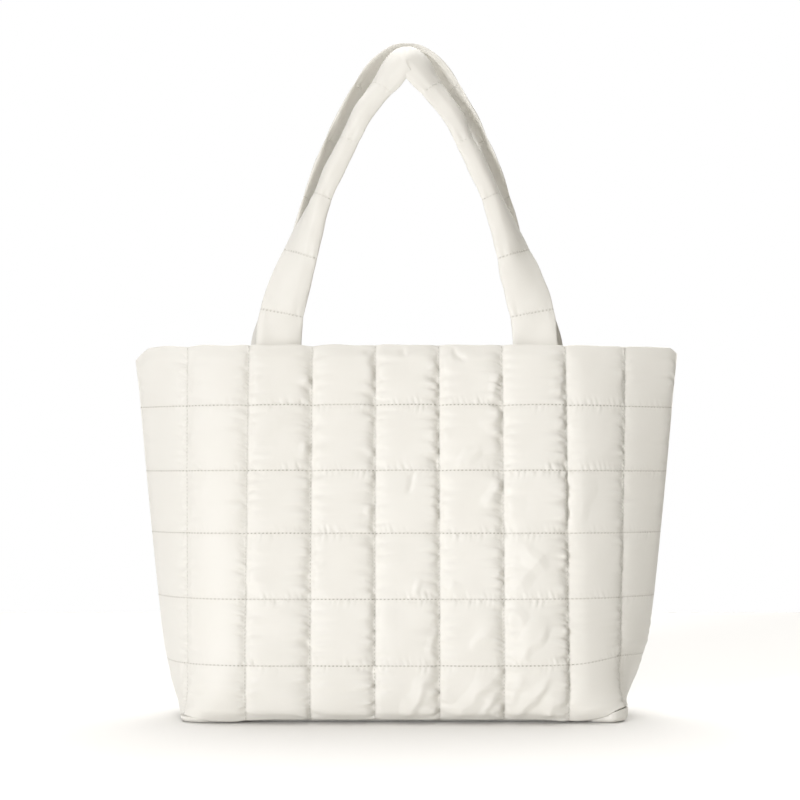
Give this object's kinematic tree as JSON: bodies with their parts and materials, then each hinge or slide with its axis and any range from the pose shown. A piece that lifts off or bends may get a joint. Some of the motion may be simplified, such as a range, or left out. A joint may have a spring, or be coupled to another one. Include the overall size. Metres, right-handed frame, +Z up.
{
  "type": "quilted tote bag",
  "caption": "Padded, quilted open-top tote with a boxed base and a pair of padded shoulder straps held upright, standing on its own base.",
  "frame": {"origin": "on the floor, under the middle of the bag", "axes": "+X to the bag's right as seen from its front, +Y from the front to the back, +Z up"},
  "size_m": [0.448, 0.1432, 0.5534],
  "materials": {
    "shell_cloth": "ivory satin woven nylon, quilted in squares",
    "base_cloth": "ivory satin woven nylon, padded",
    "strap_cloth": "ivory satin woven nylon, padded and cross-stitched"
  },
  "bodies": {
    "root": {"front_panel": "shell_cloth", "back_panel": "shell_cloth", "base_panel": "base_cloth", "front_strap": "strap_cloth", "back_strap": "strap_cloth"}
  },
  "joints": []
}
